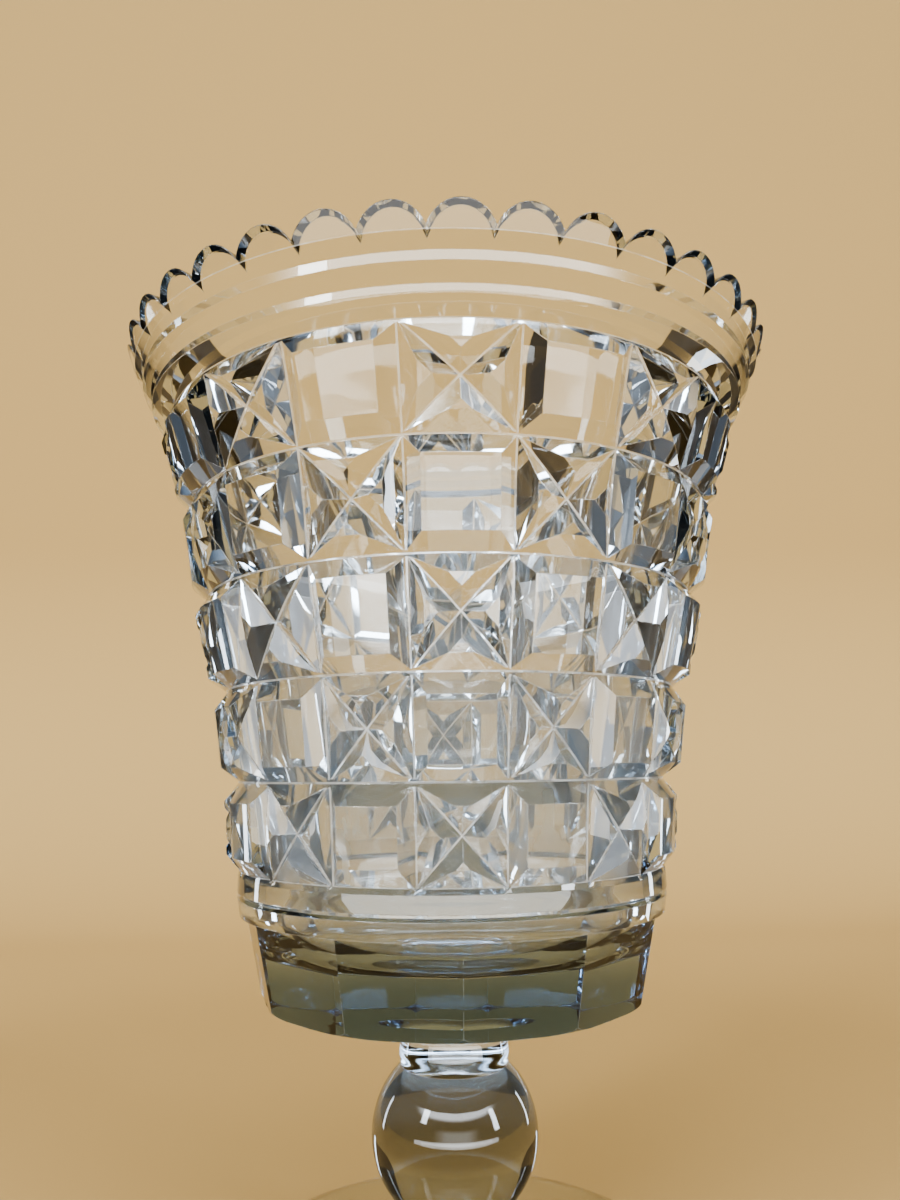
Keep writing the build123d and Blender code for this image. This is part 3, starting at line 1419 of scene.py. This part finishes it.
@dataclass
class Studio:
    """Tan seamless sheet, plain walls, dark cards, soft boxes and the camera."""

    paper_tone: Colour = colour(0.42, 0.275, 0.11)
    wall_tone: Colour = colour(0.46, 0.33, 0.17)
    wall_glow: float = 0.7
    room_tone: Colour = colour(0.10, 0.125, 0.155)
    window_tone: Colour = colour(10.5, 11.2, 12.0)
    low_tone: Colour = colour(2.6, 2.8, 3.0)
    sky_tone: Colour = colour(0.45, 0.55, 0.68)
    card_tone: Colour = colour(0.075, 0.07, 0.065)
    floor_z: float = -0.0002
    half_width: float = 1.7
    front: float = -1.6
    back: float = 0.75
    bend: float = 0.35
    bend_steps: int = 24
    height: float = 1.9
    card_near: Pair = (0.36, 0.10)
    card_far: Pair = (0.50, 0.62)
    card_foot: float = 0.001
    card_top: float = 0.75
    ahead: Pair = (0.05, 0.5)
    window_side: Pair = (0.62, 0.82)
    window_foot: Pair = (0.46, 0.54)
    window_head: Pair = (0.68, 0.76)
    low_side: Pair = (0.22, 0.55)
    low_head: Pair = (0.24, 0.34)
    sky_foot: Pair = (0.84, 0.98)
    lamps: tuple[Lamp, ...] = (
        Lamp("key", (-0.70, -0.62, 0.62), (0.16, 0.42), 5.5, (0.86, 0.94, 1.0)),
        Lamp("front", (0.0, -0.55, 0.04), (1.7, 0.075), 2.9, (0.92, 0.96, 1.0), LOW, True),
        Lamp("rim_shine", (0.0, -0.90, 0.055), (2.0, 0.05), 1.2, (0.94, 0.97, 1.0), LOWER_ROWS, True),
        Lamp("left_edge", (-0.27, 0.12, 0.06), (0.02, 0.14), 0.12, (0.80, 0.90, 1.0), STEM, True),
        Lamp("right_edge", (0.27, 0.12, 0.06), (0.02, 0.14), 0.12, (0.80, 0.90, 1.0), STEM, True),
        Lamp("fill", (0.78, -0.50, 0.40), (0.12, 0.40), 4.0, (0.84, 0.92, 1.0)),
    )
    distance: float = 0.2157
    camera_z: float = 0.1095
    azimuth: float = -2.32
    pitch: float = 10.48
    yaw: float = -0.09
    roll: float = 0.71
    lens: float = 27.1
    film_width: float = 36.0
    nearest: float = 0.01
    view_look: str = "AgX - Medium High Contrast"

    def build(self) -> None:
        """Set up the studio."""
        self._sheet()
        self._walls()
        for side in (-1, 1):
            self._card(side)
        for lamp in self.lamps:
            lamp.build()
        self._world()
        self._camera()
        bpy.context.scene.view_settings.look = self.view_look
        log.info("studio: sheet, %d soft boxes, camera", len(self.lamps))

    def _sheet(self) -> None:
        """The floor, running up behind without a line."""
        profile = [(self.front, self.floor_z)]
        centre = (self.back - self.bend, self.bend + self.floor_z)
        profile += arc(centre, self.bend, -90, 0, self.bend_steps)
        profile.append((self.back, self.height))
        points = [(side * self.half_width, y, z) for y, z in profile for side in (-1, 1)]
        faces = [(2 * i, 2 * i + 1, 2 * i + 3, 2 * i + 2) for i in range(len(profile) - 1)]
        self._paper("sheet", points, faces, self.paper_tone)

    def _walls(self) -> None:
        """Plain walls that close the studio for a view from behind and let all light through."""
        left, right, top = -self.half_width, self.half_width, self.height
        corners = ((left, self.back), (left, self.front), (right, self.front), (right, self.back))
        points = [(x, y, z) for x, y in corners for z in (self.floor_z, top)]
        faces = [(2 * i, 2 * i + 2, 2 * i + 3, 2 * i + 1) for i in range(3)]
        walls = self._paper("walls", points, faces, self.wall_tone, self.wall_glow)
        walls.visible_glossy = False
        walls.visible_transmission = False
        walls.visible_diffuse = False
        walls.visible_shadow = False

    def _paper(
        self,
        name: str,
        points: list[Triple],
        faces: list[tuple[int, ...]],
        tone: Colour,
        glow: float = 0.0,
    ) -> bpy.types.Object:
        """A piece of studio paper.

        Args:
            name: Its name.
            points: Its corners in metres.
            faces: Its faces.
            tone: Its colour.
            glow: How much it shines by itself.

        Returns:
            The object.
        """
        mesh = bpy.data.meshes.new(name)
        mesh.from_pydata(points, [], faces)
        for face in mesh.polygons:
            face.use_smooth = True
        mesh.materials.append(PaperFinish(name + "_paper", tone, glow).build())
        paper = bpy.data.objects.new(name, mesh)
        bpy.context.scene.collection.objects.link(paper)
        return paper

    def _card(self, side: int) -> None:
        """A dark card beside the background that only the glass picks up.

        Args:
            side: -1 for the left, 1 for the right.
        """
        ends = [(side * x, y) for x, y in (self.card_near, self.card_far)]
        points = [(x, y, z) for z in (self.card_foot, self.card_top) for x, y in ends]
        card = self._paper("card", points, [(0, 1, 3, 2)], self.card_tone)
        card.visible_camera = False
        card.visible_diffuse = False
        card.visible_shadow = False

    def _world(self) -> None:
        """Dim light from all round, with a wide window high in front and a glow low down."""
        world = bpy.data.worlds.new("studio_air")
        world.use_nodes = True
        graph = Graph("air", world.node_tree)
        place = graph.add("ShaderNodeTexCoord", output="Generated")
        parts = (graph.add("ShaderNodeSeparateXYZ", inputs={0: place}, output=i) for i in range(3))
        x, y, z = parts
        aside = (x * x) ** 0.5
        ahead = (0.0 - y).ramp(*self.ahead)
        window = ahead * (1.0 - aside.ramp(*self.window_side))
        window = window * z.ramp(*self.window_foot) * (1.0 - z.ramp(*self.window_head))
        low = ahead * (1.0 - aside.ramp(*self.low_side)) * (1.0 - z.ramp(*self.low_head))
        sky = z.ramp(*self.sky_foot)
        light = graph.add("ShaderNodeBackground", inputs={"Color": self.room_tone})
        for share, tone in ((low, self.low_tone), (window, self.window_tone), (sky, self.sky_tone)):
            shine = graph.add("ShaderNodeBackground", inputs={"Color": tone})
            light = graph.mix(share, light, shine)
        end = graph.tree.nodes.new("ShaderNodeOutputWorld")
        graph.tree.links.new(light.out, end.inputs["Surface"])
        bpy.context.scene.world = world

    def _camera(self) -> None:
        """Place the camera close to the bowl, tilted up a little."""
        turn = math.radians(self.azimuth)
        data = bpy.data.cameras.new("camera")
        data.sensor_width = self.film_width
        data.lens = self.lens
        data.clip_start = self.nearest
        camera = bpy.data.objects.new("camera", data)
        facing = Matrix.Rotation(turn + math.radians(self.yaw), 4, "Z")
        up = Matrix.Rotation(QUARTER + math.radians(self.pitch), 4, "X")
        tilt = Matrix.Rotation(-math.radians(self.roll), 4, "Z")
        spot = Vector((math.sin(turn), -math.cos(turn), 0.0)) * self.distance
        spot.z = self.camera_z
        camera.matrix_world = Matrix.Translation(spot) @ facing @ up @ tilt
        bpy.context.scene.collection.objects.link(camera)
        bpy.context.scene.camera = camera


def hand_over(piece: bpy.types.Object, node: str) -> None:
    """Tie a finished piece to the part it stands for.

    Args:
        piece: The finished piece.
        node: The node it takes the place of.
    """
    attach(piece, "root")
    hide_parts(node)
    log.info("%s stands for %s", piece.name, node)


def main() -> None:
    """Build the vase and its studio."""
    logging.basicConfig(level=logging.INFO, format="%(message)s")
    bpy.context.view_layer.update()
    finishes = Finishes()
    hand_over(Bowl(finishes).build(), "bowl")
    hand_over(Neck(finishes).build(), "neck_collar")
    hand_over(BallKnop(finishes).build(), "ball_knop")
    hand_over(LowerStem(finishes).build(), "lower_stem")
    hand_over(Foot(finishes).build(), "foot")
    Studio().build()


if __name__ == "__main__":
    main()
